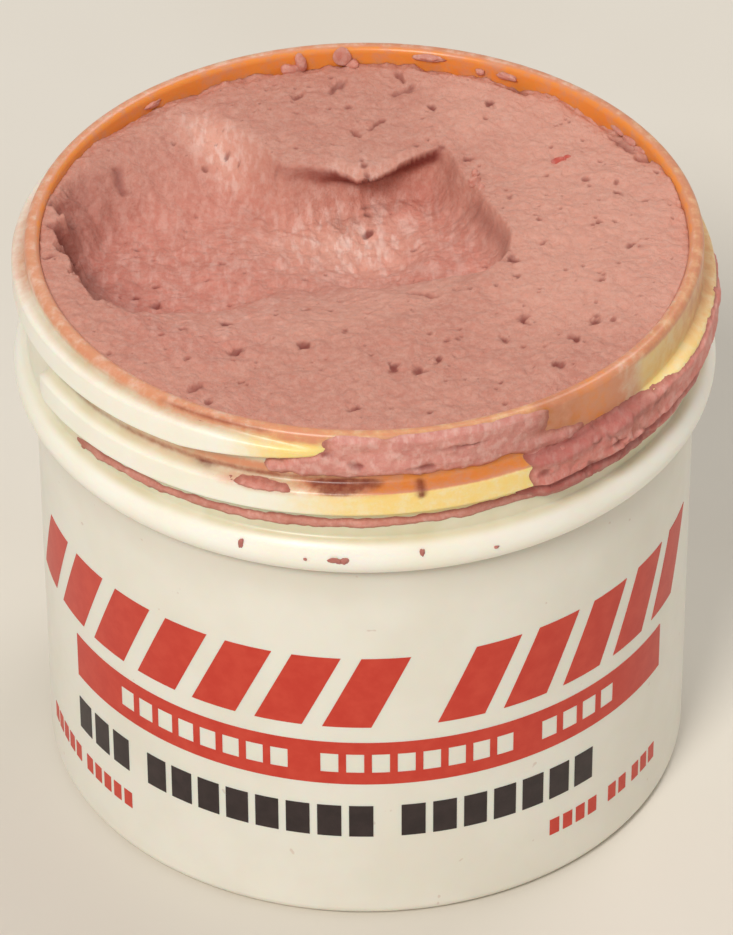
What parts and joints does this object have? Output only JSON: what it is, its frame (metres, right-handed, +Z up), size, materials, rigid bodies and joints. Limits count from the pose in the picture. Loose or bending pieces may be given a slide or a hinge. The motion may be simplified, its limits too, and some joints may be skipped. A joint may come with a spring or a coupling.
{
  "type": "gauging paste jar",
  "caption": "Open double-wall plastic jar with a single-lap threaded neck, full of scooped gauging paste.",
  "frame": {"origin": "centre of the standing ring under the base", "axes": "+Z up along the jar's axis; the front of the printed label faces -Y"},
  "size_m": [0.0564, 0.0565, 0.0493],
  "materials": {
    "jacket_plastic": "cream-white moulded plastic, soft sheen",
    "cup_plastic": "translucent cream plastic, stained yellow to orange by the dye",
    "paste": "stiff salmon-pink paste, slightly greasy",
    "paste_dark": "thin smeared paste, drying",
    "dye_bits": "dry dark red bits",
    "ink_red": "printed ink",
    "ink_black": "printed ink"
  },
  "bodies": {
    "root": {"outer_jacket": "jacket_plastic", "inner_cup": "cup_plastic", "paste": "paste", "smear_neck": "paste_dark", "smear_thread": "paste", "smear_root": "paste_dark", "smear_gap": "paste_dark", "rim_dabs": "paste", "bead_crumbs": "paste_dark", "loose_bits": "dye_bits", "print_red": "ink_red", "print_black": "ink_black"}
  },
  "joints": []
}
